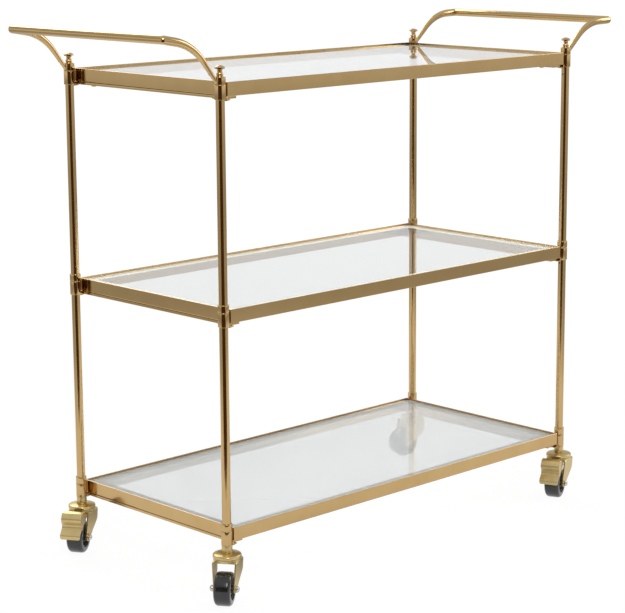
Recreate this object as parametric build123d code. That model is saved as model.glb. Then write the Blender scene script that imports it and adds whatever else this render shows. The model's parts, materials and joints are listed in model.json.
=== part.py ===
from build123d import *
import os
from math import asin, cos, radians, sin

# Three-shelf bar cart: four round posts, brass rail frames with clear glass shelves,
# a push handle at each end and four swivel casters, two of them with a foot brake.
# Millimetres, +Z up, +X along the cart, origin on the floor below the middle of the posts.

# Posts and shelf levels
post_pitch_x = 752.5
post_pitch_y = 343.0
post_od = 13.0
post_wall = 1.0
low_seam_height = 106.0
level_pitch = 321.5
slip_gap = 0.05
vent_hole_od = 2.6
vent_below_seam = {"mid": 26.0, "top": 33.0}

# Corner fittings: a ring above each seam and a sleeve below it
fitting_od = 16.4
ring_height = 11.0
sleeve_height = 21.0
web_thickness = 3.0
fitting_chamfer = 0.5

# Tie rod that pulls each post together from caster stem to finial
rod_od = 4.0
rod_hole_gap = 0.2
rod_engagement = 8.0

# Shelf frames
frame_end_inset = 10.1
frame_side_overhang = 4.2
rail_width = 20.0
rail_height = 20.0
rail_top_over_seam = 3.0
rail_wall = 1.2
rail_edge_radius = 1.2
lip_thickness = 1.5
lip_flat = 0.1
lip_over_glass = 3.0
glass_thickness = 4.0
glass_gap = 0.5
glass_corner_radius = 2.0

# Straps under the end rails, their lugs and screws
strap_thickness = 4.0
lug_width = 8.0
lug_reach = 6.5
lug_drop = 2.3
lug_gap = 0.3
lug_edge = 0.6
lug_hollow = 0.4
screw_od = 4.0
screw_hole_gap = 0.2
screw_head_od = 9.0
screw_head_height = 3.0
screw_head_round = 1.8
screw_length = 9.0
screw_from_post_y = 34.0

# Handles, drawn outward from the post axis and up from the top seam
handle_od = 12.4
handle_root_od = 6.0
handle_wall = 1.0
handle_root_height = 5.3
handle_root_angle = 48.0
handle_straight = 32.0
handle_bend_radius = 84.0
handle_end_angle = 6.0
handle_end_straight = 21.3
handle_lean = {"left": 4.3, "right": -4.3}
handle_stations = 5
handle_vent_length = 4.0
handle_vent_width = 1.5
handle_vent_distance = 14.0

# Finials
finial_base_od = 10.6
finial_base_height = 0.7
finial_bead_foot_od = 8.0
finial_bead_od = 10.0
finial_bead_top = 6.2
finial_cove = 0.9
finial_neck_od = 7.2
finial_neck_height = 8.6
finial_disc_od = 14.4
finial_disc_height = 11.0
finial_disc_edge = 2.4
finial_height = 15.8

# Caster stems and set screws
boss_od = 15.6
kingpin_od = 8.0
rivet_od = 13.0
rivet_height = 2.2
set_screw_od = 2.6
set_screw_up = 1.7
set_screw_bite = 0.8
set_screw_sunk = 0.3

# Caster race cup
cup_od = 42.0
cup_top_height = 74.0
cup_rim_height = 71.8
cup_rim_depth = 4.8
cup_rim_radius = 1.6
cup_foot_radius = 0.5
cup_dome_rise = 0.6
cup_wall = 1.2

# Caster fork
swivel_gap = 0.6
running_gap = 0.08
race_od = 40.4
race_height = 1.7
crown_thickness = 2.5
crown_hub_od = 18.0
leg_thickness = 2.5
leg_inside = 27.6
leg_toe_in = 5.0
leg_spread = 2.0
leg_lead = 14.0
leg_back = 20.0
leg_shoulder_radius = 8.0
leg_waist_height = 46.0
leg_end_radius = 6.5
leg_bend_radius = 3.0
axle_pad_od = 11.0
axle_pad_height = 0.7
caster_trail = 19.5

# Wheels
wheel_od = 50.0
wheel_width = 25.0
wheel_shoulder = 5.0
hub_od = 32.0
hub_width = 21.0
hub_boss_od = 12.0
hub_side_gap = 1.2
hub_recess_inner_od = 15.0
hub_recess_outer_od = 27.0
hub_recess_depth = 4.0

# Wheel bolts
axle_od = 6.0
nut_od = 9.6
nut_flat_height = 2.6
nut_dome_height = 2.6

# Foot brakes, drawn in the caster's own plane: trail distance from the swivel, height
pedal_width = 32.0
pedal_thickness = 2.0
pedal_points = [(38.5, 70.0), (46.0, 68.8), (51.6, 60.6), (45.6, 48.6), (57.8, 37.4), (57.2, 31.4)]
pedal_bend_radii = [3.0, 5.0, 7.0, 3.0]
pedal_corner_radius = 6.0
pin_od = 3.0
pin_trail = 31.5
pin_height = 58.5
pin_boss_od = 8.0
cheek_thickness = 2.0
cheek_inside = 26.0
cheek_back_trail = 25.5
cheek_top_height = 65.5
cheek_heel_height = 53.0
ear_thickness = 2.5
ear_gap = 0.4
ear_root_trail = 12.0
shoe_clearance = 3.2
shoe_thickness = 3.0
shoe_length = 8.0
shoe_angle = 45.0

# The rest direction of each caster's trail, in degrees from +X
caster_angle = {"front_left": 216.0, "back_left": 213.0, "front_right": 203.0, "back_right": 165.0}
braked = ["back_left", "front_right"]

# Values that follow from the sizes above
corners = {"front_left": (-1, -1), "back_left": (-1, 1), "front_right": (1, -1), "back_right": (1, 1)}
seams = {
    "low": low_seam_height,
    "mid": low_seam_height + level_pitch,
    "top": low_seam_height + 2 * level_pitch,
}
socket_od = post_od + 2 * slip_gap
rod_hole_od = rod_od + 2 * rod_hole_gap
frame_x = post_pitch_x - 2 * frame_end_inset
frame_y = post_pitch_y + 2 * frame_side_overhang
rail_bottom_drop = rail_height - rail_top_over_seam
ledge_height = rail_height - lip_over_glass - glass_thickness
wheel_radius = wheel_od / 2
cup_foot = cup_rim_height - cup_rim_depth
race_top = cup_foot - swivel_gap
crown_top = race_top - race_height
crown_foot = crown_top - crown_thickness
stem_top = seams["low"] - web_thickness
boss_top = seams["low"] - sleeve_height
leg_outside = leg_inside + 2 * leg_thickness
nut_seat = leg_outside / 2 + axle_pad_height
beyond_caster = 2 * cup_od


def group(pieces):
    """Several separate solids as one sub-part."""
    return Compound([solid for piece in pieces for solid in piece.solids()])


def corner_at(corner, height=0):
    """The place on a post's axis at a height above the floor."""
    side, face = corners[corner]
    return Pos(side * post_pitch_x / 2, face * post_pitch_y / 2, height)


def rod(diameter, foot, top):
    """An upright cylinder between two heights."""
    return Pos(0, 0, foot) * extrude(Circle(diameter / 2), top - foot)


def cross_rod(diameter, start, end, trail, height):
    """A cylinder across the caster, from one side distance to another."""
    return Pos(trail, start, height) * Rot(-90, 0, 0) * extrude(Circle(diameter / 2), end - start)


def cap_arc(radius, foot, rise):
    """Half outline of a round cap, from its edge up to its middle on the axis."""
    ball = (radius**2 + rise**2) / (2 * rise)
    half = asin(radius / ball) / 2
    middle = (ball * sin(half), foot + rise - ball * (1 - cos(half)))
    return ThreePointArc((radius, foot), middle, (0, foot + rise))


# Post tubes

def tube(below, above, side):
    """One post tube with a small vent hole on the side that faces the middle of the cart."""
    foot, top = seams[below] + web_thickness, seams[above] - web_thickness
    body = rod(post_od, foot, top) - rod(post_od - 2 * post_wall, foot, top)
    vent = Rot(0, -90 * side, 0) * rod(vent_hole_od, 0, post_od)
    return body - Pos(0, 0, seams[above] - vent_below_seam[above]) * vent


def post(corner):
    """A lower and an upper tube, each held between the webs of two fittings."""
    side = corners[corner][0]
    return corner_at(corner) * group([tube("low", "mid", side), tube("mid", "top", side)])


# Corner fittings

def edge_softened(body):
    """Chamfers on the outside rims of a turned fitting."""
    circles = body.edges().filter_by(GeomType.CIRCLE)
    rims = circles.filter_by(lambda rim: rim.radius > fitting_od / 2 - slip_gap)
    return chamfer(rims, fitting_chamfer)


def cap_ring():
    """Ring above a seam that holds the foot of the tube above."""
    body = edge_softened(rod(fitting_od, 0, ring_height))
    return body - rod(socket_od, web_thickness, ring_height) - rod(rod_hole_od, 0, web_thickness)


def handle_collar():
    """Solid ring on the top seam that carries a handle arm and a finial."""
    return edge_softened(rod(fitting_od, 0, ring_height)) - rod(rod_hole_od, 0, ring_height)


def lug():
    """Hollow-sided bracket from a sleeve to the strap under the end rail."""
    inner = post_od / 2
    strap_top = -rail_bottom_drop
    strap_foot = strap_top - strap_thickness
    foot = -sleeve_height - lug_drop
    end = frame_end_inset + lug_reach
    tip = boss_od / 2 + lug_gap
    outline = Polyline(
        (tip, foot), (inner, foot), (inner, strap_top), (frame_end_inset, strap_top),
        (frame_end_inset, strap_foot), (end, strap_foot), (end, strap_foot - lug_edge),
    )
    outline += SagittaArc((end, strap_foot - lug_edge), (tip, foot), -lug_hollow)
    side_view = make_face(Plane.XZ * outline)
    return extrude(side_view, lug_width / 2, both=True)


def sleeve(corner):
    """Sleeve below a seam that holds the head of a tube, with its lug towards the cart."""
    body = edge_softened(rod(fitting_od, -sleeve_height, 0)) + lug()
    body -= rod(socket_od, -sleeve_height - lug_drop, -web_thickness)
    body -= rod(boss_od + 2 * lug_gap, -sleeve_height - 2 * lug_drop, -sleeve_height)
    body -= rod(rod_hole_od, -web_thickness, 0)
    return Rot(0, 0, 180 if corners[corner][0] > 0 else 0) * body


def set_screw_axis(corner):
    """The radial axis of a set screw, facing out from the cart's corner."""
    side, face = corners[corner]
    turn = {(-1, -1): 225, (-1, 1): 135, (1, -1): 315, (1, 1): 45}[(side, face)]
    return Pos(0, 0, -sleeve_height + set_screw_up) * Rot(0, 0, turn) * Rot(0, 90, 0)


def set_screw(corner):
    """Headless screw through the low sleeve into the caster stem."""
    tip = post_od / 2 - set_screw_bite
    return set_screw_axis(corner) * rod(set_screw_od, tip, fitting_od / 2 - set_screw_sunk)


def low_sleeve(corner):
    """A low sleeve, drilled for its set screw."""
    hole = rod(set_screw_od + 2 * slip_gap, post_od / 2 - set_screw_bite - slip_gap, fitting_od)
    return sleeve(corner) - set_screw_axis(corner) * hole


def tie_rod():
    """Threaded rod from the caster stem to the finial."""
    return rod(rod_od, stem_top - rod_engagement, seams["top"] + ring_height + rod_engagement)


def finial():
    """Turned knob: a thin base, a bead, a neck and a domed disc."""
    base, foot = finial_base_od / 2, finial_bead_foot_od / 2
    neck, disc = finial_neck_od / 2, finial_disc_od / 2
    edge_top = finial_disc_height + finial_disc_edge
    outline = Polyline(
        (0, finial_height), (0, 0), (base, 0), (base, finial_base_height), (foot, finial_base_height)
    )
    outline += SagittaArc(
        (foot, finial_base_height), (neck, finial_bead_top), -(finial_bead_od / 2 - (foot + neck) / 2)
    )
    outline += Line((neck, finial_bead_top), (neck, finial_neck_height))
    outline += SagittaArc((neck, finial_neck_height), (disc, finial_disc_height), finial_cove)
    outline += Line((disc, finial_disc_height), (disc, edge_top))
    outline += cap_arc(disc, edge_top, finial_height - edge_top)
    knob = revolve(make_face(Plane.XZ * outline), Axis.Z)
    return knob - rod(rod_od + 2 * slip_gap, 0, rod_engagement + slip_gap)


# Shelf frames and glass

def rail_section():
    """Box rail with a thin lip along its outer side, above a ledge for the glass."""
    outline = make_face(
        Polyline(
            (0, 0), (0, rail_height), (lip_thickness, rail_height), (lip_thickness, ledge_height),
            (rail_width, ledge_height), (rail_width, 0), close=True,
        )
    )
    outer_corners = outline.vertices().sort_by(Axis.X)[:2]
    outline = fillet(outer_corners, min(rail_edge_radius, lip_thickness - lip_flat))
    hollow = Rectangle(rail_width - 2 * rail_wall, ledge_height - 2 * rail_wall)
    return outline - Pos(rail_width / 2, ledge_height / 2) * hollow


def rail(length, depth):
    """A mitred rail whose outer face looks along -Y, at half the frame's depth."""
    bar = extrude(Plane.YZ * rail_section(), length / 2, both=True)
    plan = Polyline(
        (-length / 2, 0), (length / 2, 0), (length / 2 - rail_width, rail_width),
        (-length / 2 + rail_width, rail_width), close=True,
    )
    mitred = bar & extrude(make_face(plan), rail_height)
    return Pos(0, -depth / 2, 0) * mitred


def strap_screw_places():
    """Where the strap screws stand, seen from one end strap's middle."""
    reach = post_pitch_y / 2 - screw_from_post_y
    return [Pos(0, -reach, 0), Pos(0, reach, 0)]


def end_middle(side):
    """The middle line of the end rail and its strap, on the left (-1) or right (1)."""
    return Pos(side * (frame_x / 2 - rail_width / 2), 0, 0)


def shelf_rails(level):
    """The four mitred rails of one shelf, by name."""
    foot = Pos(0, 0, seams[level] - rail_bottom_drop)
    screw_hole = rod(screw_od + 2 * slip_gap, 0, rail_wall)
    rails = {}
    for turn, name in enumerate(["front", "right", "back", "left"]):
        along_x = turn % 2 == 0
        length, depth = (frame_x, frame_y) if along_x else (frame_y, frame_x)
        piece = Rot(0, 0, 90 * turn) * rail(length, depth)
        if not along_x:
            for place in strap_screw_places():
                piece -= end_middle(1 if name == "right" else -1) * place * screw_hole
        rails[f"{name}_rail_{level}"] = foot * piece
    return rails


def glass(level):
    """Clear glass that lies on the ledges, a little below the top of the lips."""
    inset = 2 * (lip_thickness + glass_gap)
    pane = extrude(RectangleRounded(frame_x - inset, frame_y - inset, glass_corner_radius), glass_thickness)
    return Pos(0, 0, seams[level] - rail_bottom_drop + ledge_height) * pane


def strap(side):
    """Flat bar under an end rail that carries it between the two posts."""
    bar = Pos(0, 0, -strap_thickness / 2) * Box(rail_width, post_pitch_y, strap_thickness)
    for place in strap_screw_places():
        bar -= place * rod(screw_od + 2 * screw_hole_gap, -strap_thickness, 0)
    return end_middle(side) * bar


def strap_screw():
    """Round-headed screw, driven up through the strap into the rail."""
    shank = rod(screw_od, -strap_thickness, screw_length - strap_thickness)
    head = rod(screw_head_od, -strap_thickness - screw_head_height, -strap_thickness)
    under = head.edges().group_by(Axis.Z)[0]
    return shank + fillet(under, screw_head_round)


# Handles

def arm_path(lean):
    """Centre line of a handle arm, leaning about the collar: points, directions, distances."""
    root = Vector(fitting_od / 2, 0, handle_root_height)
    first = Vector(cos(radians(handle_root_angle)), 0, sin(radians(handle_root_angle)))
    last = Vector(cos(radians(handle_end_angle)), 0, sin(radians(handle_end_angle)))
    bend_start = root + first * handle_straight
    centre = bend_start + Vector(first.Z, 0, -first.X) * handle_bend_radius
    stations = [(root - first * fitting_od / 2, first, -fitting_od / 2), (bend_start, first, handle_straight)]
    for step in range(1, handle_stations + 1):
        turned = (handle_root_angle - handle_end_angle) * step / handle_stations
        angle = radians(handle_root_angle - turned)
        outward = Vector(-sin(angle), 0, cos(angle))
        arc_length = handle_bend_radius * radians(turned)
        place = centre + outward * handle_bend_radius
        stations.append((place, Vector(cos(angle), 0, sin(angle)), handle_straight + arc_length))
    end = stations[-1][0] + last * handle_end_straight
    stations.append((end, last, stations[-1][2] + handle_end_straight))
    pivot = Vector(0, 0, handle_root_height)
    tilt = Rot(0, -lean, 0)
    leant = []
    for place, direction, distance in stations:
        moved = (tilt * Pos(*(place - pivot))).position + pivot
        leant.append((moved, (tilt * Pos(*direction)).position, distance))
    return leant


def arm_diameter(distance, whole):
    """The arm swells evenly from its root to full size at the end of the bend."""
    share = min(max(distance, 0) / (whole - handle_end_straight), 1)
    return handle_root_od + (handle_od - handle_root_od) * share


def arm_solid(lean, wall_in):
    """The arm as a solid, thinner all round by the given wall, rounded at the corner."""
    path = arm_path(lean)
    whole = path[-1][2]
    circles = []
    for place, direction, distance in path[:-1]:
        radius = arm_diameter(distance, whole) / 2 - wall_in
        circles.append(Plane(place, x_dir=(0, 1, 0), z_dir=direction) * Circle(radius))
    bend_end, direction, distance = path[-2]
    full_radius = handle_od / 2 - wall_in
    straight = Plane(bend_end, x_dir=(0, 1, 0), z_dir=direction) * rod(2 * full_radius, 0, whole - distance)
    return loft(circles) + (straight + Pos(*path[-1][0]) * Sphere(full_radius))


def mitre_side(corner, arm_direction, arm_half):
    """A big block on one side of the mitre between an arm and the bar that leaves along +Y."""
    facing = (arm_direction + Vector(0, 1, 0)).normalized()
    size = 4 * handle_od
    reach = size / 2 * (-1 if arm_half else 1)
    mitre = Plane(corner, x_dir=(0, -facing.Z, facing.Y), z_dir=facing)
    return mitre * Pos(0, 0, reach) * Box(size, size, size)


def handle_arm(lean):
    """Tapered tube arm for the front right corner, its root cut to the collar."""
    path = arm_path(lean)
    end, direction = path[-1][:2]
    body = arm_solid(lean, 0) - arm_solid(lean, handle_wall)
    body -= mitre_side(end, direction, False)
    body -= rod(fitting_od, -fitting_od, ring_height + fitting_od)
    bend_start, first = path[1][:2]
    middle = bend_start - first * (handle_straight - handle_vent_distance)
    below = Vector(first.Z, 0, -first.X)
    slot = extrude(SlotOverall(handle_vent_length, handle_vent_width), handle_od)
    return body - Plane(middle, x_dir=first, z_dir=below) * slot


def handle_bar(lean):
    """Straight tube between the two arms, mitred and rounded at both corners."""
    end, direction = arm_path(lean)[-1][:2]
    half = post_pitch_y / 2
    shells = []
    for wall_in in [0, handle_wall]:
        radius = handle_od / 2 - wall_in
        tube_core = extrude(Plane.XZ * Circle(radius), half, both=True)
        balls = [Pos(0, -half, 0) * Sphere(radius), Pos(0, half, 0) * Sphere(radius)]
        shells.append(tube_core + balls)
    bar = Pos(end.X, 0, end.Z) * (shells[0] - shells[1])
    front_cut = mitre_side(Vector(end.X, -half, end.Z), direction, True)
    return bar - front_cut - mirror(front_cut, about=Plane.XZ)


def handle_parts(name):
    """A handle's bar and two arms, by name, on the left or right end."""
    lean = handle_lean[name]
    height = Pos(0, 0, seams["top"])
    at_post = Pos(post_pitch_x / 2, -post_pitch_y / 2, 0)
    front = height * at_post * handle_arm(lean)
    back = mirror(front, about=Plane.XZ)
    bar = height * Pos(post_pitch_x / 2, 0, 0) * handle_bar(lean)
    if name == "left":
        half_turn = Rot(0, 0, 180)
        front, back, bar = half_turn * back, half_turn * front, half_turn * bar
    return {f"handle_arm_front_{name}": front, f"handle_arm_back_{name}": back, f"handle_bar_{name}": bar}


# Casters, built with the trail along +X and the swivel axis on Z

def caster_stem(corner):
    """Spigot, boss, kingpin and rivet head in one turned piece."""
    rivet_top = crown_foot - swivel_gap
    stem = rod(post_od, boss_top, stem_top) + rod(boss_od, cup_top_height, boss_top)
    stem += rod(kingpin_od, rivet_top - rivet_height, cup_top_height)
    stem += rod(rivet_od, rivet_top - rivet_height, rivet_top)
    stem -= rod(rod_od + 2 * slip_gap, stem_top - rod_engagement - slip_gap, stem_top)
    tip = post_od / 2 - set_screw_bite - slip_gap
    dimple = Pos(0, 0, seams["low"]) * set_screw_axis(corner) * rod(set_screw_od + 2 * slip_gap, tip, post_od)
    return stem - dimple


def race_cup():
    """Domed pressed cup that covers the swivel bearing."""
    hole = kingpin_od / 2 + slip_gap
    rim = cup_od / 2
    top_in = cup_top_height - cup_wall
    rim_in = cup_rim_height - cup_wall / 2
    outline = Line((hole, cup_top_height), (boss_od / 2, cup_top_height))
    outline += SagittaArc((boss_od / 2, cup_top_height), (rim, cup_rim_height), cup_dome_rise)
    outline += Polyline(
        (rim, cup_rim_height), (rim, cup_foot), (rim - cup_wall, cup_foot), (rim - cup_wall, rim_in)
    )
    outline += SagittaArc((rim - cup_wall, rim_in), (boss_od / 2, top_in), -cup_dome_rise)
    outline += Polyline((boss_od / 2, top_in), (hole, top_in), (hole, cup_top_height))
    section = make_face(outline)
    shoulder = section.vertices().sort_by_distance((rim, cup_rim_height))[0]
    section = fillet(shoulder, cup_rim_radius)
    foot = section.vertices().sort_by_distance((rim, cup_foot))[0]
    return revolve(Plane.XZ * fillet(foot, cup_foot_radius), Axis.Z)


def fork_half():
    """One half of the bent sheet: a leg and its side of the crown, closer together at the axle."""
    foot = wheel_radius - leg_end_radius
    straight = wheel_radius + leg_end_radius
    outside, inside = leg_outside / 2, leg_inside / 2
    sheet = make_face(
        Polyline(
            (-outside, crown_top), (outside + leg_spread, crown_top), (outside, straight), (outside, foot),
            (inside, foot), (inside, straight), (inside + leg_spread, crown_foot), (-outside, crown_foot),
            close=True,
        )
    )
    bend = sheet.vertices().sort_by_distance((outside + leg_spread, crown_top))[0]
    sheet = fillet(bend, leg_bend_radius)
    front = extrude(Plane.YZ * sheet, beyond_caster, both=True)
    side = extrude(Plane.XZ * fork_side_view(), beyond_caster, both=True)
    pivot = Pos(caster_trail, inside, 0)
    toed = pivot * Rot(0, 0, -leg_toe_in) * Pos(-caster_trail, -inside, 0) * (front & side)
    return toed & Pos(0, beyond_caster, 0) * Box(*3 * [2 * beyond_caster])


def fork_side_view():
    """A leg seen from the side: wide shoulder that narrows to a round end at the axle."""
    foot = leg_end_radius * cos(radians(45))
    blank = make_face(
        Polyline(
            (-leg_lead, crown_top), (-leg_lead, leg_waist_height),
            (caster_trail - foot, wheel_radius - foot), (caster_trail, wheel_radius - leg_end_radius),
            (caster_trail + leg_end_radius, wheel_radius), (leg_back, crown_top), close=True,
        )
    )
    waist = blank.vertices().sort_by_distance((-leg_lead, leg_waist_height))[0]
    blank = fillet(waist, leg_shoulder_radius)
    return blank + Pos(caster_trail, wheel_radius) * Circle(leg_end_radius)


def brake_ears():
    """Two ears on the crown's trailing edge that hold the pedal pin."""
    outer = cheek_inside / 2 - ear_gap
    ear_foot = pin_height - pin_boss_od / 2
    blank = make_face(
        Polyline(
            (ear_root_trail, ear_foot), (pin_trail, ear_foot), (pin_trail, pin_height + pin_boss_od / 2),
            (ear_root_trail, crown_top), close=True,
        )
    )
    profile = blank + Pos(pin_trail, pin_height) * Circle(pin_boss_od / 2)
    pair = []
    for side in [-outer, outer - ear_thickness]:
        pair.append(Pos(0, side, 0) * extrude(Plane.XZ * profile, -ear_thickness))
    return pair


def fork(corner):
    """Pressed fork with a race ring and a raised hub under the cup, and flat pads at the axle."""
    half = fork_half()
    body = half + mirror(half, about=Plane.XZ) + rod(race_od, crown_foot, race_top)
    body += rod(crown_hub_od, crown_foot, cup_top_height - cup_wall - swivel_gap)
    pad = cross_rod(axle_pad_od, (leg_inside + leg_thickness) / 2, nut_seat, caster_trail, wheel_radius)
    body += [pad, mirror(pad, about=Plane.XZ)]
    if corner in braked:
        for ear in brake_ears():
            body += ear
        body -= cross_rod(pin_od + 2 * slip_gap, -beyond_caster, beyond_caster, pin_trail, pin_height)
    body -= rod(kingpin_od + 2 * running_gap, 0, cup_top_height)
    return body - cross_rod(axle_od + 2 * slip_gap, -beyond_caster, beyond_caster, caster_trail, wheel_radius)


def domed_end():
    """A round nut or bolt head: a short cylinder under a low dome."""
    radius = nut_od / 2
    outline = Polyline((0, nut_flat_height + nut_dome_height), (0, 0), (radius, 0), (radius, nut_flat_height))
    outline += cap_arc(radius, nut_flat_height, nut_dome_height)
    return revolve(make_face(Plane.XZ * outline), Axis.Z)


def axle():
    """Wheel bolt with a domed head, and a domed nut on its other end."""
    face = nut_seat
    bolt_end = face + nut_flat_height
    centre = Pos(caster_trail, 0, wheel_radius)
    head = centre * Pos(0, -face, 0) * Rot(90, 0, 0) * domed_end()
    nut = centre * Pos(0, face, 0) * Rot(-90, 0, 0) * domed_end()
    bolt = head + cross_rod(axle_od, -face, bolt_end, caster_trail, wheel_radius)
    nut -= cross_rod(axle_od + 2 * slip_gap, face, bolt_end + slip_gap, caster_trail, wheel_radius)
    return group([bolt, nut])


def tyre():
    """Solid tyre with rounded shoulders."""
    ring = Circle(wheel_radius) - Circle(hub_od / 2)
    body = extrude(Plane.XZ * ring, wheel_width / 2, both=True)
    circles = body.edges().filter_by(GeomType.CIRCLE)
    rims = circles.filter_by(lambda rim: rim.radius > wheel_radius - slip_gap)
    return Pos(caster_trail, 0, wheel_radius) * fillet(rims, wheel_shoulder)


def hub():
    """Wheel centre with a dished ring on both faces and a boss between the fork legs."""
    body = extrude(Plane.XZ * Circle(hub_od / 2), hub_width / 2, both=True)
    dish = Circle(hub_recess_outer_od / 2) - Circle(hub_recess_inner_od / 2)
    inner = hub_width / 2 - hub_recess_depth
    groove = extrude(Plane.XZ * dish, hub_width, both=True) - Box(wheel_od, 2 * inner, wheel_od)
    boss = extrude(Plane.XZ * Circle(hub_boss_od / 2), leg_inside / 2 - hub_side_gap, both=True)
    bore = extrude(Plane.XZ * Circle(axle_od / 2 + running_gap), wheel_width, both=True)
    return Pos(caster_trail, 0, wheel_radius) * (body - groove + boss - bore)


# Foot brakes

def pedal_plate():
    """The pressed plate that the foot meets: a top flange, a bulge, a hollow and a flared lip."""
    path = FilletPolyline(*pedal_points, radius=pedal_bend_radii)
    sheet = extrude(Plane.XZ * trace(path, pedal_thickness), pedal_width / 2, both=True)
    foot = min(height for distance, height in pedal_points) - pedal_thickness
    top = max(height for distance, height in pedal_points) + pedal_thickness
    blank = Pos(0, (foot + top) / 2) * Rectangle(pedal_width, top - foot)
    lip_corners = blank.vertices().sort_by(Axis.Y)[:2]
    return sheet & extrude(Plane.YZ * fillet(lip_corners, pedal_corner_radius), beyond_caster)


def pedal_cheek():
    """Side plate that closes the pedal from its plate back to the pin and down to the shoe."""
    bulge_trail, bulge_height = pedal_points[2]
    hollow_trail, hollow_height = pedal_points[3]
    shoe = shoe_middle()
    return make_face(
        Polyline(
            (cheek_back_trail, cheek_heel_height),
            (cheek_back_trail, cheek_top_height - pedal_thickness),
            (cheek_back_trail + pedal_thickness, cheek_top_height),
            pedal_points[0],
            pedal_points[1],
            (bulge_trail - pedal_thickness, bulge_height),
            (hollow_trail + pedal_thickness / 2, hollow_height),
            (shoe.X + shoe_thickness / 2, shoe.Y), close=True,
        )
    )


def shoe_middle():
    """The middle of the brake shoe, in front of and above the tyre."""
    reach = wheel_radius + shoe_clearance + shoe_thickness / 2
    outward = Vector(cos(radians(shoe_angle)), sin(radians(shoe_angle)))
    return Vector(caster_trail, wheel_radius) + outward * reach


def brake_pedal():
    """Foot pedal with two cheeks on the pin and a shoe that faces the tyre."""
    body = pedal_plate()
    for side in [-cheek_inside / 2 - cheek_thickness, cheek_inside / 2]:
        body += Pos(0, side, 0) * extrude(Plane.XZ * pedal_cheek(), -cheek_thickness)
    shoe = shoe_middle()
    block = Box(shoe_thickness, cheek_inside + 2 * cheek_thickness, shoe_length)
    body += Pos(shoe.X, 0, shoe.Y) * Rot(0, -shoe_angle, 0) * block
    return body - cross_rod(pin_od + 2 * running_gap, -beyond_caster, beyond_caster, pin_trail, pin_height)


def pedal_pin():
    """Pin through the fork's ears and the pedal's cheeks."""
    half = cheek_inside / 2 + cheek_thickness
    return cross_rod(pin_od, -half, half, pin_trail, pin_height)


def caster_parts(corner):
    """The pieces of one caster that turn with it, by name."""
    place = corner_at(corner) * Rot(0, 0, caster_angle[corner])
    pieces = {
        f"caster_fork_{corner}": fork(corner),
        f"wheel_axle_{corner}": axle(),
        f"wheel_tyre_{corner}": tyre(),
        f"wheel_hub_{corner}": hub(),
    }
    if corner in braked:
        pieces[f"brake_pedal_{corner}"] = brake_pedal()
        pieces[f"brake_pin_{corner}"] = pedal_pin()
    return {node: place * piece for node, piece in pieces.items()}


# The whole cart

def all_parts():
    """Every sub-part of the cart by name."""
    parts = {f"post_{corner}": post(corner) for corner in corners}
    for level in ["low", "mid"]:
        ring = cap_ring()
        parts[f"cap_rings_{level}"] = group([corner_at(corner, seams[level]) * ring for corner in corners])
    collar = handle_collar()
    parts["handle_collars"] = group([corner_at(corner, seams["top"]) * collar for corner in corners])
    for level in seams:
        build = low_sleeve if level == "low" else sleeve
        placed = [corner_at(corner, seams[level]) * build(corner) for corner in corners]
        parts[f"corner_sleeves_{level}"] = group(placed)
        parts.update(shelf_rails(level))
        parts[f"glass_shelf_{level}"] = glass(level)
        strap_top = Pos(0, 0, seams[level] - rail_bottom_drop)
        parts[f"end_straps_{level}"] = group([strap_top * strap(side) for side in [-1, 1]])
    screws = []
    for level in seams:
        strap_top = Pos(0, 0, seams[level] - rail_bottom_drop)
        for side in [-1, 1]:
            screws += [strap_top * end_middle(side) * place * strap_screw() for place in strap_screw_places()]
    parts["strap_screws"] = group(screws)
    parts["set_screws"] = group([corner_at(corner, seams["low"]) * set_screw(corner) for corner in corners])
    parts["tie_rods"] = group([corner_at(corner) * tie_rod() for corner in corners])
    finial_foot = seams["top"] + ring_height
    parts["finials"] = group([corner_at(corner, finial_foot) * finial() for corner in corners])
    parts.update(handle_parts("left"))
    parts.update(handle_parts("right"))
    parts["caster_stems"] = group([corner_at(corner) * caster_stem(corner) for corner in corners])
    parts["caster_cups"] = group([corner_at(corner) * race_cup() for corner in corners])
    for corner in corners:
        parts.update(caster_parts(corner))
    return parts


os.makedirs("parts", exist_ok=True)
for node, piece in all_parts().items():
    export_step(piece, f"parts/{node}.step")
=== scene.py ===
import json
from math import atan2, cos, hypot, pi, radians, sin

import bmesh
import bpy
from mathutils import Matrix, Vector


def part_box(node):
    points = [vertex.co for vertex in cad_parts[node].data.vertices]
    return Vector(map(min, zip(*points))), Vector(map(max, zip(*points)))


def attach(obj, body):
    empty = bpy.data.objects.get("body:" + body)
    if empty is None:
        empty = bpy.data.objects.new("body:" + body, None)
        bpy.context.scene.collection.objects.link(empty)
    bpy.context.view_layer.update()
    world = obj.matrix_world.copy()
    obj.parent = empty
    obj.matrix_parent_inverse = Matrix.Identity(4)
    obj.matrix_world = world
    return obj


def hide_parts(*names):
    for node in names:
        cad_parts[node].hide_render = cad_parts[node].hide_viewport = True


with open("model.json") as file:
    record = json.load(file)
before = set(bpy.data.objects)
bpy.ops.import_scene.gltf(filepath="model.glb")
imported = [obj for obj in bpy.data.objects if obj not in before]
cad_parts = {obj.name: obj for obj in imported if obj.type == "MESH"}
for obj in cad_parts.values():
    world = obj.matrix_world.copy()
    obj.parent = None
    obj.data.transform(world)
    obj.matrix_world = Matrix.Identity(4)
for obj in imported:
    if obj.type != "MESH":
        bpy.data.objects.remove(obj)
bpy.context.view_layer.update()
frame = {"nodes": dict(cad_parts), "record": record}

# A three-shelf bar cart in brass and glass. Metres, +Z up, +X from the left handle to the right one.

mm = 0.001
sides = {"front_left": (-1, -1), "back_left": (-1, 1), "front_right": (1, -1), "back_right": (1, 1)}
levels = ["low", "mid", "top"]


def middleOf(node):
    low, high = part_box(node)
    return (low + high) / 2


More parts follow.
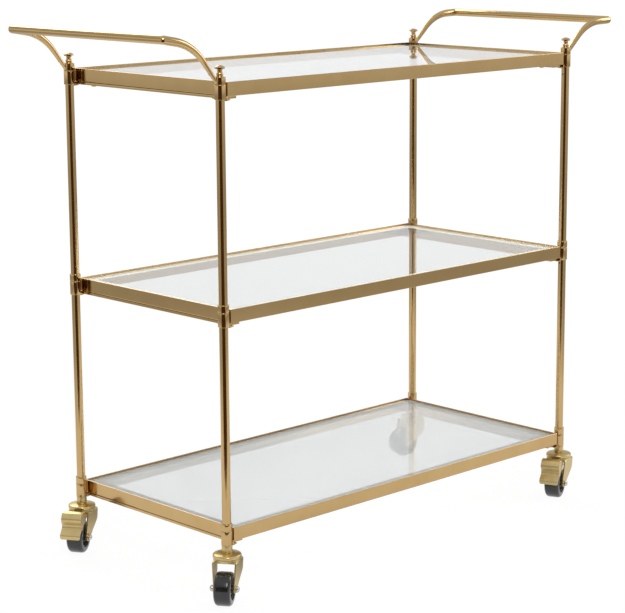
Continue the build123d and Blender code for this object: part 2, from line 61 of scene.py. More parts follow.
postAt = {corner: middleOf("post_" + corner) for corner in sides}
seamAt = {
    "low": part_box("cap_rings_low")[0].z,
    "mid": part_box("cap_rings_mid")[0].z,
    "top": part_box("handle_collars")[0].z,
}


def postPlaces(height):
    # one place on each post's axis
    return [Matrix.Translation((spot.x, spot.y, height)) for spot in postAt.values()]


# Shapes

weld = 1e-7  # points nearer than this are one, in m


def vertsOf(geom):
    return [part for part in geom if isinstance(part, bmesh.types.BMVert)]


def turned(outline, steps=64, closed=False):
    # radius and height pairs in mm, spun about Z
    bm = bmesh.new()
    line = [bm.verts.new((radius * mm, 0, height * mm)) for radius, height in outline]
    links = [bm.edges.new(pair) for pair in zip(line, line[1:])]
    if closed:
        links.append(bm.edges.new((line[-1], line[0])))
    bmesh.ops.spin(
        bm, geom=line + links, axis=(0, 0, 1), cent=(0, 0, 0), angle=2 * pi, steps=steps, use_merge=True,
    )
    bmesh.ops.remove_doubles(bm, verts=bm.verts, dist=weld)
    bmesh.ops.recalc_face_normals(bm, faces=bm.faces)
    return bm


def soften(bm, width, segments=2, sharper=30, only=None):
    # rounds the edges that turn by more than an angle
    edges = [
        edge for edge in bm.edges
        if len(edge.link_faces) == 2 and edge.calc_face_angle() > radians(sharper)
    ]
    if only:
        edges = [edge for edge in edges if only(edge)]
    bmesh.ops.bevel(
        bm, geom=edges, offset=width * mm, offset_type='OFFSET', affect='EDGES',
        segments=segments, profile=0.5, material=-1, clamp_overlap=True,
    )
    return bm


def domeLine(first, second, rise, steps=8):
    # points of a shallow arc between two places, bulging to the left of the way
    across = Vector((first[1] - second[1], second[0] - first[0])).normalized()
    points = []
    for step in range(1, steps):
        share = step / steps
        lift = rise * (1 - (2 * share - 1) ** 2)
        points.append(tuple(Vector(first).lerp(Vector(second), share) + across * lift))
    return points


def repeated(bm, places):
    # the same shape once at each place
    shape = bm.verts[:] + bm.edges[:] + bm.faces[:]
    for place in places[1:]:
        made = bmesh.ops.duplicate(bm, geom=shape)["geom"]
        bmesh.ops.transform(bm, matrix=place, verts=vertsOf(made))
    bmesh.ops.transform(bm, matrix=places[0], verts=vertsOf(shape))
    return bm


def block(size, centre=(0, 0, 0)):
    bm = bmesh.new()
    place = Matrix.Translation(Vector(centre) * mm) @ Matrix.Diagonal((*size, 1))
    bmesh.ops.create_cube(bm, size=mm, matrix=place)
    return bm


def rod(radius, length, segments=32, place=Matrix()):
    # a closed cylinder along Z about its own middle, in mm
    bm = bmesh.new()
    bmesh.ops.create_cone(
        bm, cap_ends=True, segments=segments, radius1=radius * mm, radius2=radius * mm,
        depth=length * mm, matrix=place,
    )
    return bm


def plate(outline, thickness):
    # a flat outline in the XZ plane, in mm, given a thickness along Y about its middle
    bm = bmesh.new()
    face = bm.faces.new([bm.verts.new((x * mm, -thickness / 2 * mm, z * mm)) for x, z in outline])
    made = bmesh.ops.extrude_face_region(bm, geom=[face])["geom"]
    bmesh.ops.translate(bm, vec=(0, thickness * mm, 0), verts=vertsOf(made))
    bmesh.ops.recalc_face_normals(bm, faces=bm.faces)
    return bm


def joined(*shapes):
    bm = shapes[0]
    for other in shapes[1:]:
        mesh = bpy.data.meshes.new("joined")
        other.to_mesh(mesh)
        other.free()
        bm.from_mesh(mesh)
        bpy.data.meshes.remove(mesh)
    return bm


def cutPlane(bm, point, normal):
    # drops what lies on the normal's side and closes the cut
    geom = bm.verts[:] + bm.edges[:] + bm.faces[:]
    cut = bmesh.ops.bisect_plane(
        bm, geom=geom, plane_co=point, plane_no=normal, dist=weld, clear_outer=True,
    )
    edges = [part for part in cut["geom_cut"] if isinstance(part, bmesh.types.BMEdge)]
    bmesh.ops.holes_fill(bm, edges=edges)
    return bm


def skinned(stations, segments=48):
    # rings of given radii, each square to its own place, joined into a closed skin
    bm = bmesh.new()
    rings = []
    for place, radius in stations:
        made = bmesh.ops.create_circle(bm, segments=segments, radius=radius * mm, matrix=place)["verts"]
        rings.append([edge for edge in bm.edges if edge.verts[0] in made and edge.verts[1] in made])
    for near, far in zip(rings, rings[1:]):
        bmesh.ops.bridge_loops(bm, edges=near + far)
    bmesh.ops.holes_fill(bm, edges=[edge for edge in bm.edges if edge.is_boundary])
    bmesh.ops.recalc_face_normals(bm, faces=bm.faces)
    return bm


def cutAway(bm, cutter):
    # takes the cutter's shape out of the first one
    carriers = []
    for shape in [bm, cutter]:
        mesh = bpy.data.meshes.new("cutting")
        shape.to_mesh(mesh)
        shape.free()
        carriers.append(bpy.data.objects.new("cutting", mesh))
        bpy.context.scene.collection.objects.link(carriers[-1])
    drill = carriers[0].modifiers.new("Drill", 'BOOLEAN')
    drill.operation = 'DIFFERENCE'
    drill.solver = 'EXACT'
    drill.object = carriers[1]
    evaluated = carriers[0].evaluated_get(bpy.context.evaluated_depsgraph_get())
    result = bmesh.new()
    result.from_mesh(evaluated.data)
    for carrier in carriers:
        mesh = carrier.data
        bpy.data.objects.remove(carrier)
        bpy.data.meshes.remove(mesh)
    return result


def piece(name, bm, slot, body, *nodes, smooth=38, weighted=False):
    if bm.calc_volume(signed=True) < 0:
        # a mirrored piece comes out with its faces turned inwards
        bmesh.ops.reverse_faces(bm, faces=bm.faces[:])
    mesh = bpy.data.meshes.new(name)
    bm.to_mesh(mesh)
    bm.free()
    mesh.shade_smooth()
    mesh.set_sharp_from_angle(angle=radians(smooth))
    made = bpy.data.objects.new(name, mesh)
    bpy.context.scene.collection.objects.link(made)
    mesh.materials.append(finishes[slot])
    if weighted:
        made.modifiers.new("Flat faces", 'WEIGHTED_NORMAL').keep_sharp = True
    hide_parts(*nodes)
    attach(made, body)
    return made


# Finishes

def nodeTree(material):
    material.use_nodes = True
    tree = material.node_tree
    return tree, tree.nodes["Principled BSDF"]


def noise(tree, scale, detail=3, stretch=(1, 1, 1)):
    # a soft pattern in the piece's own coordinates
    where = tree.nodes.new('ShaderNodeTexCoord')
    mapping = tree.nodes.new('ShaderNodeMapping')
    mapping.inputs["Scale"].default_value = stretch
    pattern = tree.nodes.new('ShaderNodeTexNoise')
    pattern.inputs["Scale"].default_value = scale
    pattern.inputs["Detail"].default_value = detail
    tree.links.new(where.outputs["Object"], mapping.inputs["Vector"])
    tree.links.new(mapping.outputs["Vector"], pattern.inputs["Vector"])
    return pattern.outputs["Fac"]


def ranged(tree, value, low, high, start=0.3, end=0.7):
    spread = tree.nodes.new('ShaderNodeMapRange')
    spread.inputs["From Min"].default_value = start
    spread.inputs["From Max"].default_value = end
    spread.inputs["To Min"].default_value = low
    spread.inputs["To Max"].default_value = high
    tree.links.new(value, spread.inputs["Value"])
    return spread.outputs["Result"]


def blended(tree, value, first, second):
    mix = tree.nodes.new('ShaderNodeMix')
    mix.data_type = 'RGBA'
    for socket, colour in [("A", first), ("B", second)]:
        if isinstance(colour, tuple):
            mix.inputs[socket].default_value = (*colour, 1)
        else:
            tree.links.new(colour, mix.inputs[socket])
    tree.links.new(value, mix.inputs["Factor"])
    return mix.outputs["Result"]


def bumped(tree, shader, value, strength, distance):
    bump = tree.nodes.new('ShaderNodeBump')
    bump.inputs["Strength"].default_value = strength
    bump.inputs["Distance"].default_value = distance * mm
    tree.links.new(value, bump.inputs["Height"])
    tree.links.new(bump.outputs["Normal"], shader.inputs["Normal"])


# the pale colour of up-facing rail faces is a painted reflection; this band sets where it starts and where it
# is full
paintedReflectionBand = (0.98, 0.999)  # where an upright share of the normal starts to count, and counts fully


def paintedReflectionFaces(tree):
    # one on flat faces that look straight up, where the rails get their painted reflection
    where = tree.nodes.new('ShaderNodeTexCoord')
    parts = tree.nodes.new('ShaderNodeSeparateXYZ')
    tree.links.new(where.outputs["Normal"], parts.inputs[0])
    return ranged(tree, parts.outputs["Z"], 0, 1, *paintedReflectionBand)


def surfaceFinish(name, look):
    # colour that drifts a little, roughness that varies, and a fine grain
    material = bpy.data.materials.new(name)
    tree, shader = nodeTree(material)
    shader.inputs["Metallic"].default_value = look["metallic"]
    shader.inputs["Coat Weight"].default_value = look.get("coat", 0)
    shader.inputs["Coat Roughness"].default_value = look.get("coatRoughness", 0.05)
    drift = ranged(tree, noise(tree, look["driftScale"]), 0, 1)
    colour = blended(tree, drift, look["colour"], look["secondColour"])
    if "paintedLedgeReflection" in look:
        # painted reflection: faces that look straight up, the ledges under the glass and the lip tops, are
        # made pale and non-metal to stand for the white backdrop the brass mirrors there
        up = paintedReflectionFaces(tree)
        colour = blended(tree, up, colour, look["paintedLedgeReflection"])
        tree.links.new(ranged(tree, up, look["metallic"], look["paintedReflectionMetal"]), shader.inputs["Metallic"])
    tree.links.new(colour, shader.inputs["Base Color"])
    grain = noise(tree, look["grainScale"], 4, look["grainStretch"])
    tree.links.new(ranged(tree, grain, *look["roughness"]), shader.inputs["Roughness"])
    bumped(tree, shader, grain, look["bump"], look["bumpHeight"])
    return material


brassLook = {
    "colour": (0.60, 0.415, 0.19), "secondColour": (0.56, 0.375, 0.165), "metallic": 1.0,
    "driftScale": 18, "grainScale": 900, "grainStretch": (1, 1, 0.15),
    "roughness": (0.09, 0.16), "bump": 0.05, "bumpHeight": 0.02,
}
# rails: the same brass with a painted pale reflection on the faces that look up
railBrassWithPaintedReflection = {**brassLook, "paintedLedgeReflection": (0.98, 0.95, 0.86), "paintedReflectionMetal": 0.0}
casterBrassLook = {
    "colour": (0.66, 0.52, 0.25), "secondColour": (0.60, 0.46, 0.21), "metallic": 1.0,
    "driftScale": 60, "grainScale": 700, "grainStretch": (1, 1, 1),
    "roughness": (0.28, 0.40), "bump": 0.10, "bumpHeight": 0.03,
}
tyreLook = {
    "colour": (0.006, 0.006, 0.007), "secondColour": (0.011, 0.011, 0.012), "metallic": 0.0, "coat": 0.45,
    "driftScale": 90, "grainScale": 900, "grainStretch": (1, 1, 1),
    "roughness": (0.12, 0.26), "bump": 0.22, "bumpHeight": 0.06,
}
hubLook = {
    "colour": (0.014, 0.013, 0.013), "secondColour": (0.024, 0.022, 0.021), "metallic": 0.0,
    "driftScale": 120, "grainScale": 1400, "grainStretch": (1, 1, 1),
    "roughness": (0.34, 0.52), "bump": 0.18, "bumpHeight": 0.04,
}
brightSteelLook = {
    "colour": (0.68, 0.67, 0.64), "secondColour": (0.58, 0.57, 0.54), "metallic": 1.0,
    "driftScale": 200, "grainScale": 1800, "grainStretch": (1, 1, 1),
    "roughness": (0.14, 0.28), "bump": 0.08, "bumpHeight": 0.02,
}
zincLook = {
    "colour": (0.50, 0.50, 0.50), "secondColour": (0.40, 0.41, 0.42), "metallic": 1.0,
    "driftScale": 300, "grainScale": 1500, "grainStretch": (1, 1, 1),
    "roughness": (0.28, 0.44), "bump": 0.12, "bumpHeight": 0.03,
}
glassLook = {
    "tint": (0.955, 0.972, 0.970), "ior": 1.50, "roughness": (0.0, 0.012), "smudgeScale": 9,
    "shadowTint": (0.94, 0.95, 0.945),
    # the panes differ to fit how each shelf looks: each is darkened by a painted shade, most on the low pane
    # over the shaded floor, and the low pane is also made less clear
    "panes": {
        "low": {"clearness": 0.66, "paintedShade": 0.91},
        "mid": {"clearness": 0.95, "paintedShade": 0.97},
        "top": {"clearness": 0.95, "paintedShade": 0.975},
    },
}


def glassFinish(name, look, clearness=1, paintedShade=1):
    # clear glass with a trace of wiping marks, which lets light through to the shelf below
    material = bpy.data.materials.new(name)
    tree, shader = nodeTree(material)
    # painted shade: the glass colour is darkened per pane
    shader.inputs["Base Color"].default_value = (*[part * paintedShade for part in look["tint"]], 1)
    shader.inputs["Transmission Weight"].default_value = clearness
    shader.inputs["IOR"].default_value = look["ior"]
    smudge = noise(tree, look["smudgeScale"], 5)
    tree.links.new(ranged(tree, smudge, *look["roughness"]), shader.inputs["Roughness"])
    through = tree.nodes.new('ShaderNodeBsdfTransparent')
    through.inputs["Color"].default_value = (*look["shadowTint"], 1)
    rays = tree.nodes.new('ShaderNodeLightPath')
    mix = tree.nodes.new('ShaderNodeMixShader')
    tree.links.new(rays.outputs["Is Shadow Ray"], mix.inputs[0])
    tree.links.new(shader.outputs[0], mix.inputs[1])
    tree.links.new(through.outputs[0], mix.inputs[2])
    tree.links.new(mix.outputs[0], tree.nodes["Material Output"].inputs["Surface"])
    return material


finishes = {
    "brass": surfaceFinish("Satin brass", brassLook),
    "caster_brass": surfaceFinish("Golden caster brass", casterBrassLook),
    "clear_glass": glassFinish("Clear glass", glassLook),
    "black_tyre": surfaceFinish("Glossy black tyre", tyreLook),
    "black_hub": surfaceFinish("Black wheel centre", hubLook),
    "bright_steel": surfaceFinish("Bright nickel", brightSteelLook),
    "zinc_steel": surfaceFinish("Zinc plated steel", zincLook),
}
paneFinishesWithPaintedShade = {
    level: glassFinish("Clear glass " + level, glassLook, **paneLook)
    for level, paneLook in glassLook["panes"].items()
}
# the rails' finish, with its painted ledge reflection
railFinishWithPaintedReflection = surfaceFinish("Satin brass rails with painted ledge reflection", railBrassWithPaintedReflection)
for entry in frame["record"]["subparts"]:
    mesh = frame["nodes"][entry["node"]].data
    mesh.materials.clear()
    mesh.materials.append(finishes[entry["material_slot"]])
print("finishes ready")


# Posts

post = {"outer": 13.0, "wall": 1.0, "web": 3.0, "vent": 2.6, "ventBelowSeam": {"mid": 26.0, "top": 33.0}}


def makePosts():
    for corner, (across, _) in sides.items():
        spot = postAt[corner]
        tubes = []
        for foot, head in [("low", "mid"), ("mid", "top")]:
            low = seamAt[foot] / mm + post["web"]
            high = seamAt[head] / mm - post["web"]
            outside, inside = post["outer"] / 2, post["outer"] / 2 - post["wall"]
            shell = turned([(outside, low), (outside, high), (inside, high), (inside, low)], 96, closed=True)
            hole = seamAt[head] - post["ventBelowSeam"][head] * mm
            face = Matrix.Translation((-across * post["outer"] / 2 * mm, 0, hole))
            drill = rod(post["vent"] / 2, post["outer"], place=face @ Matrix.Rotation(pi / 2, 4, 'Y'))
            tubes.append(cutAway(shell, drill))
        bm = repeated(joined(*tubes), [Matrix.Translation((spot.x, spot.y, 0))])
        piece("postTube_" + corner, bm, "brass", "cart", "post_" + corner)


makePosts()
print("posts ready")


# Corner fittings: a ring above each seam and a sleeve with a lug below it

fitting = {
    "outer": 16.4, "ring": 11.0, "sleeve": 21.0, "web": 3.0, "socket": 13.1, "rodHole": 4.4,
    "chamfer": 0.5, "rounding": 0.18,
}
lug = {
    "width": 8.0, "railInset": 10.1, "reach": 6.5, "drop": 2.3, "tip": 8.1, "railDrop": 17.0,
    "strap": 4.0, "edge": 0.6, "hollow": 0.4, "overlap": 0.2, "rounding": 0.35,
}


def ringOutline(solid):
    edge, outer = fitting["chamfer"], fitting["outer"] / 2
    top = fitting["ring"]
    hole, socket, web = fitting["rodHole"] / 2, fitting["socket"] / 2, fitting["web"]
    outside = [(hole, 0), (outer - edge, 0), (outer, edge), (outer, top - edge), (outer - edge, top)]
    if solid:
        return outside + [(hole, top)]
    return outside + [(socket, top), (socket, web), (hole, web)]


def sleeveOutline():
    edge, outer = fitting["chamfer"], fitting["outer"] / 2
    foot = -fitting["sleeve"]
    hole, socket, web = fitting["rodHole"] / 2, fitting["socket"] / 2, fitting["web"]
    return [
        (hole, 0), (outer - edge, 0), (outer, -edge), (outer, foot + edge), (outer - edge, foot),
        (socket, foot), (socket, -web), (hole, -web),
    ]


def lugShape():
    top = -lug["railDrop"]
    foot = -fitting["sleeve"] - lug["drop"]
    end = lug["railInset"] + lug["reach"]
    tip, hidden = lug["tip"], fitting["socket"] / 2 + lug["overlap"]
    under = top - lug["strap"]
    rise = under - lug["edge"] - foot
    hollow = [
        (tip + (end - tip) * share, foot + rise * share - lug["hollow"] * sin(pi * share))
        for share in [0.25, 0.5, 0.75]
    ]
    inSleeve = -fitting["sleeve"] + lug["overlap"]
    outline = [
        (hidden, top), (lug["railInset"], top), (lug["railInset"], under), (end, under),
        (end, under - lug["edge"]), *reversed(hollow), (tip, foot), (tip, inSleeve), (hidden, inSleeve),
    ]
    return soften(plate(outline, lug["width"]), lug["rounding"], 2, 50)


def makeFittings():
    for level in ["low", "mid"]:
        bm = soften(turned(ringOutline(False), 72, closed=True), fitting["rounding"])
        bm = repeated(bm, postPlaces(seamAt[level]))
        piece("postRings_" + level, bm, "brass", "cart", "cap_rings_" + level)
    bm = soften(turned(ringOutline(True), 72, closed=True), fitting["rounding"])
    piece("handleCollars", repeated(bm, postPlaces(seamAt["top"])), "brass", "cart", "handle_collars")
    for level in levels:
        bm = joined(soften(turned(sleeveOutline(), 72, closed=True), fitting["rounding"]), lugShape())
        places = []
        for corner, (across, _) in sides.items():
            place = Matrix.Translation((postAt[corner].x, postAt[corner].y, seamAt[level]))
            places.append(place @ Matrix.Rotation(pi if across > 0 else 0, 4, 'Z'))
        piece("cornerSleeves_" + level, repeated(bm, places), "brass", "cart", "corner_sleeves_" + level)


makeFittings()
print("corner fittings ready")


# Finials: a thin base, a bead, a neck and a domed disc

finial = {
    "base": 5.3, "baseHeight": 0.7, "beadFoot": 4.0, "beadBulge": 1.2, "beadTop": 6.2,
    "neck": 3.6, "neckHeight": 8.6, "disc": 7.2, "discHeight": 11.0, "cove": 0.9, "edge": 2.4,
    "domeRise": 0.45, "height": 15.8, "rounding": 0.25,
}


def makeFinials():
    base, neck, disc = finial["base"], finial["neck"], finial["disc"]
    beadStart, beadEnd = (finial["beadFoot"], finial["baseHeight"]), (neck, finial["beadTop"])
    flareStart, flareEnd = (neck, finial["neckHeight"]), (disc, finial["discHeight"])
    rim, tip = (disc, finial["discHeight"] + finial["edge"]), (0, finial["height"])
    outline = [(0, 0), (base, 0), (base, finial["baseHeight"]), beadStart]
    outline += domeLine(beadStart, beadEnd, -finial["beadBulge"], 12) + [beadEnd, flareStart]
    outline += domeLine(flareStart, flareEnd, finial["cove"], 12) + [flareEnd, rim]
    outline += domeLine(rim, tip, -finial["domeRise"]) + [tip]
    bm = soften(turned(outline, 56), finial["rounding"], 2, 40)
    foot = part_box("finials")[0].z
    piece("finialKnobs", repeated(bm, postPlaces(foot)), "brass", "cart", "finials", smooth=40)


makeFinials()
print("finials ready")


# Shelf rails, mitred at the corners, with a lip that holds the glass

rail = {
    "width": 20.0, "height": 20.0, "lip": 1.5, "glass": 4.0, "lipOverGlass": 3.0,
    "outerRounding": 0.66, "underRounding": {"front": 0.66, "right": 1.7, "back": 0.66, "left": 1.7},
    "rounding": 0.25, "cornerRounding": 0.4, "near": 0.1, "parallel": 0.999,
}
railTurns = {"front": 0, "right": 1, "back": 2, "left": 3}


def railShape(length, depth, underRounding):
    width, height, lip = rail["width"], rail["height"], rail["lip"]
    ledge = height - rail["lipOverGlass"] - rail["glass"]
    bm = bmesh.new()
    section = [(0, 0), (width, 0), (width, ledge), (lip, ledge), (lip, height), (0, height)]
    face = bm.faces.new([bm.verts.new((-length / 2, y * mm, z * mm)) for y, z in section])
    made = bmesh.ops.extrude_face_region(bm, geom=[face])["geom"]
    bmesh.ops.translate(bm, vec=(length, 0, 0), verts=vertsOf(made))
    bmesh.ops.recalc_face_normals(bm, faces=bm.faces)
    for end in [-1, 1]:
        cutPlane(bm, (end * length / 2, 0, 0), (end, 1, 0))

    def runOf(edge):
        return (edge.verts[1].co - edge.verts[0].co).normalized()

    def atFace(edge):
        return max(vert.co.y for vert in edge.verts) < rail["near"] * mm

    def lengthwise(edge):
        return abs(runOf(edge).x) > rail["parallel"]

    def under(edge):
        return lengthwise(edge) and atFace(edge) and max(vert.co.z for vert in edge.verts) < rail["near"] * mm

    def over(edge):
        lowest = min(vert.co.z for vert in edge.verts)
        return lengthwise(edge) and atFace(edge) and lowest > (height - rail["near"]) * mm

    def upright(edge):
        return abs(runOf(edge).z) > rail["parallel"] and atFace(edge)

    soften(bm, underRounding, 3, 30, under)
    soften(bm, rail["outerRounding"], 3, 30, over)
    soften(bm, rail["rounding"], 2, 60, lengthwise)
    soften(bm, rail["cornerRounding"], 2, 60, upright)
    return repeated(bm, [Matrix.Translation((0, -depth / 2, 0))])


def makeRails():
    low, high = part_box("front_rail_low")
    frameX = high.x - low.x
    low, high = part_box("left_rail_low")
    frameY = high.y - low.y
    for level in levels:
        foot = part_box("front_rail_" + level)[0].z
        for name, turn in railTurns.items():
            length, depth = (frameX, frameY) if turn % 2 == 0 else (frameY, frameX)
            place = Matrix.Translation((0, 0, foot)) @ Matrix.Rotation(turn * pi / 2, 4, 'Z')
            bm = repeated(railShape(length, depth, rail["underRounding"][name]), [place])
            node = name + "_rail_" + level
            made = piece(name + "Rail_" + level, bm, "brass", "cart", node, smooth=50, weighted=True)
            made.data.materials[0] = railFinishWithPaintedReflection


makeRails()
print("rails ready")


# Glass shelves

pane = {"cornerRadius": 2.0, "polish": 0.35}


def makeGlass():
    for level in levels:
        low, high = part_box("glass_shelf_" + level)
        bm = block((high - low) / mm, (low + high) / 2 / mm)
        upright = [edge for edge in bm.edges if abs(edge.verts[0].co.z - edge.verts[1].co.z) > mm]
        bmesh.ops.bevel(
            bm, geom=upright, offset=pane["cornerRadius"] * mm, offset_type='OFFSET', affect='EDGES',
            segments=6, profile=0.5, material=-1,
        )
        soften(bm, pane["polish"], 2, 60)
        node = "glass_shelf_" + level
        made = piece("glassPane_" + level, bm, "clear_glass", "cart", node, smooth=50, weighted=True)
        made.data.materials[0] = paneFinishesWithPaintedShade[level]


makeGlass()
print("glass ready")


# Straps under the end rails, and their screws

strap = {"width": 20.0, "thickness": 4.0, "rounding": 0.5}
strapScrew = {
    "shank": 2.0, "length": 9.0, "head": 4.5, "headHeight": 3.0, "fromPost": 34.0,
    "slotWidth": 1.1, "slotLength": 5.0, "slotDepth": 1.3, "rounding": 0.12,
    "headProfile": [(0.35, 0.12), (0.68, 0.55), (0.9, 1.3), (1.0, 2.2)],  # share of the head, height
}


def strapMiddle(side, level):
    low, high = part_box(("right" if side > 0 else "left") + "_rail_" + level)
    return Vector(((low.x + high.x) / 2, 0, low.z))


def makeStraps():
    low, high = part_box("end_straps_low")
    length = (high.y - low.y) / mm
    for level in levels:
        bars = []
        for side in [-1, 1]:
            bar = block((strap["width"], length, strap["thickness"]), (0, 0, -strap["thickness"] / 2))
            soften(bar, strap["rounding"])
            bars.append(repeated(bar, [Matrix.Translation(strapMiddle(side, level))]))
        piece("endStraps_" + level, joined(*bars), "brass", "cart", "end_straps_" + level, weighted=True)


def makeStrapScrews():
    thick, head, shank = strap["thickness"], strapScrew["head"], strapScrew["shank"]
    foot, tip = -thick - strapScrew["headHeight"], strapScrew["length"] - thick
    outline = [(0, foot)]
    outline += [(head * share, foot + rise) for share, rise in strapScrew["headProfile"]]
    outline += [(head, -thick), (shank, -thick), (shank, tip), (0, tip)]
    screw = soften(turned(outline, 36), strapScrew["rounding"], 2, 60)
    long, wide, deep = strapScrew["slotLength"], strapScrew["slotWidth"], 2 * strapScrew["slotDepth"]
    for slot in [(long, wide, deep), (wide, long, deep)]:
        screw = cutAway(screw, block(slot, (0, 0, foot)))
    places = []
    reach = abs(postAt["front_left"].y) - strapScrew["fromPost"] * mm
    for level in levels:
        for side in [-1, 1]:
            for end in [-1, 1]:
                places.append(Matrix.Translation(strapMiddle(side, level) + Vector((0, end * reach, 0))))
    piece("strapScrews", repeated(screw, places), "brass", "cart", "strap_screws")


makeStraps()
makeStrapScrews()
print("straps ready")


# Set screws in the low sleeves

setScrew = {
    "outer": 2.6, "tip": 5.7, "face": 7.9, "up": 1.7, "socket": 1.3, "socketDepth": 1.0, "rounding": 0.12,
}


def makeSetScrews():
    middle, length = (setScrew["tip"] + setScrew["face"]) / 2, setScrew["face"] - setScrew["tip"]
    body = soften(rod(setScrew["outer"] / 2, length), setScrew["rounding"], 2, 60)
    face = Matrix.Translation((0, 0, length / 2 * mm))
    screw = cutAway(body, rod(setScrew["socket"] / 2, 2 * setScrew["socketDepth"], 6, face))
    places = []
    for corner, (across, along) in sides.items():
        height = seamAt["low"] - (fitting["sleeve"] - setScrew["up"]) * mm
        spot = Matrix.Translation((postAt[corner].x, postAt[corner].y, height))
        outward = Matrix.Rotation(atan2(along, across), 4, 'Z') @ Matrix.Rotation(pi / 2, 4, 'Y')
        places.append(spot @ outward @ Matrix.Translation((0, 0, middle * mm)))
    piece("setScrews", repeated(screw, places), "zinc_steel", "cart", "set_screws")


makeSetScrews()
print("set screws ready")


# Handles: two tapered arms that rise from the collars, mitred to a straight bar

handle = {
    "outer": 12.4, "root": 6.0, "rootHeight": 5.3, "rootAngle": 48.0, "straight": 32.0, "bendRadius": 84.0,
    "endAngle": 6.0, "endStraight": 21.3, "lean": {"left": 4.3, "right": -4.3}, "steps": 14,
    "slotLength": 4.0, "slotWidth": 1.5, "slotDistance": 14.0, "slotDepth": 3.0, "seam": 0.1,
    "hiddenRoot": 1.2, "ballRings": 12, "ballSpan": 12.4,
}


def headingOf(angle):
    # an arm's way, outward along +X and up
    return Vector((cos(angle), 0, sin(angle)))


def armStations(lean):
    # centre line of an arm from its post's axis, outward along +X: place, heading, radius
    root = Vector((fitting["outer"] / 2, 0, handle["rootHeight"]))
    bend = radians(handle["rootAngle"] - handle["endAngle"])
    whole = handle["straight"] + handle["bendRadius"] * bend
    first = radians(handle["rootAngle"])
    inside = fitting["outer"] / 2
    stations = [(root - headingOf(first) * inside, first, -inside), (root, first, 0)]
    start = root + headingOf(first) * handle["straight"]
    stations.append((start, first, handle["straight"]))
    centre = start + Vector((sin(first), 0, -cos(first))) * handle["bendRadius"]
    for step in range(1, handle["steps"] + 1):
        angle = first - bend * step / handle["steps"]
        place = centre + Vector((-sin(angle), 0, cos(angle))) * handle["bendRadius"]
        passed = handle["straight"] + handle["bendRadius"] * bend * step / handle["steps"]
        stations.append((place, angle, passed))
    place, angle, passed = stations[-1]
    end = place + headingOf(angle) * handle["endStraight"]
    stations.append((end, angle, passed + handle["endStraight"]))
    pivot = Vector((0, 0, handle["rootHeight"]))
    tilt = Matrix.Rotation(-radians(lean), 3, 'Y')
    leant = []
    for place, angle, distance in stations:
        share = min(max(distance, 0) / whole, 1)
        radius = (handle["root"] + (handle["outer"] - handle["root"]) * share) / 2
        leant.append((tilt @ (place - pivot) + pivot, angle + radians(lean), radius))
    return leant


def squareTo(place, angle):
    # a ring's place in mm, facing along the arm
    return Matrix.Translation(place * mm) @ Matrix.Rotation(pi / 2 - angle, 4, 'Y')


def ballRings(radius):
    # distance and radius of the rings that close a tube with a ball end
    turns = [pi / 2 * step / handle["ballSpan"] for step in range(1, handle["ballRings"] + 1)]
    return [(radius * sin(turn), radius * cos(turn)) for turn in turns]


def slotCutter(place, turn, size):
    # a short slot across the underside, near the arm's root
    cutter = rod(handle["slotWidth"] / 2, handle["slotDepth"], 26)
    stretch = (handle["slotLength"] - handle["slotWidth"]) / 2 * mm
    for end in [-1, 1]:
        half = [vert for vert in cutter.verts if vert.co.x * end > 0]
        bmesh.ops.translate(cutter, vec=(end * stretch, 0, 0), verts=half)
    below = Vector((sin(turn), 0, -cos(turn)))
    spot = place + headingOf(turn) * handle["slotDistance"] + below * size
    cutter.transform(Matrix.Translation(spot * mm) @ Matrix.Rotation(-turn, 4, 'Y'))
    return cutter


def makeArm(stations):
    end, angle, radius = stations[-1]
    heading = headingOf(angle)
    rings = [(squareTo(place, turn), size) for place, turn, size in stations]
    rings += [(squareTo(end + heading * far, angle), size) for far, size in ballRings(radius)]
    bm = skinned(rings)
    cutPlane(bm, Vector((fitting["outer"] / 2 - handle["hiddenRoot"], 0, 0)) * mm, (-1, 0, 0))
    cutPlane(bm, end * mm, heading + Vector((0, 1, 0)))
    soften(bm, handle["seam"], 2, 40)
    return cutAway(bm, slotCutter(*stations[1]))


def makeBar(stations):
    # a straight tube between the ends of two arms, mitred to both
    half = abs(postAt["front_left"].y)
    end, angle, radius = stations[-1]
    rings = [((0, -half - far * mm, 0), size) for far, size in reversed(ballRings(radius))]
    rings.append(((0, -half, 0), radius))
    rings += [((0, -place[1], 0), size) for place, size in reversed(rings)]
    quarter = Matrix.Rotation(pi / 2, 4, 'X')
    bm = skinned([(Matrix.Translation(place) @ quarter, size) for place, size in rings])
    bmesh.ops.translate(bm, vec=(end.x * mm, 0, end.z * mm), verts=bm.verts)
    for along in [-1, 1]:
        corner = Vector((end.x * mm, along * half, end.z * mm))
        cutPlane(bm, corner, -headingOf(angle) + Vector((0, along, 0)))
    return soften(bm, handle["seam"], 2, 40)


def makeHandles():
    reach, half = abs(postAt["front_left"].x), abs(postAt["front_left"].y)
    for name, side in [("left", -1), ("right", 1)]:
        stations = armStations(handle["lean"][name])
        for end, along in [("front", -1), ("back", 1)]:
            bm = makeArm(stations)
            place = Matrix.Translation((side * reach, along * half, seamAt["top"]))
            bm.transform(place @ Matrix.Diagonal((side, -along, 1, 1)))
            corner = end + "_" + name
            piece("handleArm_" + corner, bm, "brass", "cart", "handle_arm_" + corner, smooth=50)
        bm = makeBar(stations)
        bm.transform(Matrix.Translation((side * reach, 0, seamAt["top"])) @ Matrix.Diagonal((side, 1, 1, 1)))
        piece("handleBar_" + name, bm, "brass", "cart", "handle_bar_" + name, smooth=50)


makeHandles()
print("handles ready")


# Casters

stem = {"spigot": 6.5, "boss": 7.8, "kingpin": 4.0, "rivet": 6.5, "rivetHeight": 2.2, "rounding": 0.25}
cup = {
    "hole": 4.05, "boss": 7.8, "top": 74.0, "rim": 21.0, "rimHeight": 71.8, "foot": 67.0,
    "wall": 1.2, "rise": 0.6, "rimRounding": 1.344, "footRounding": 0.5, "near": 0.3,
}


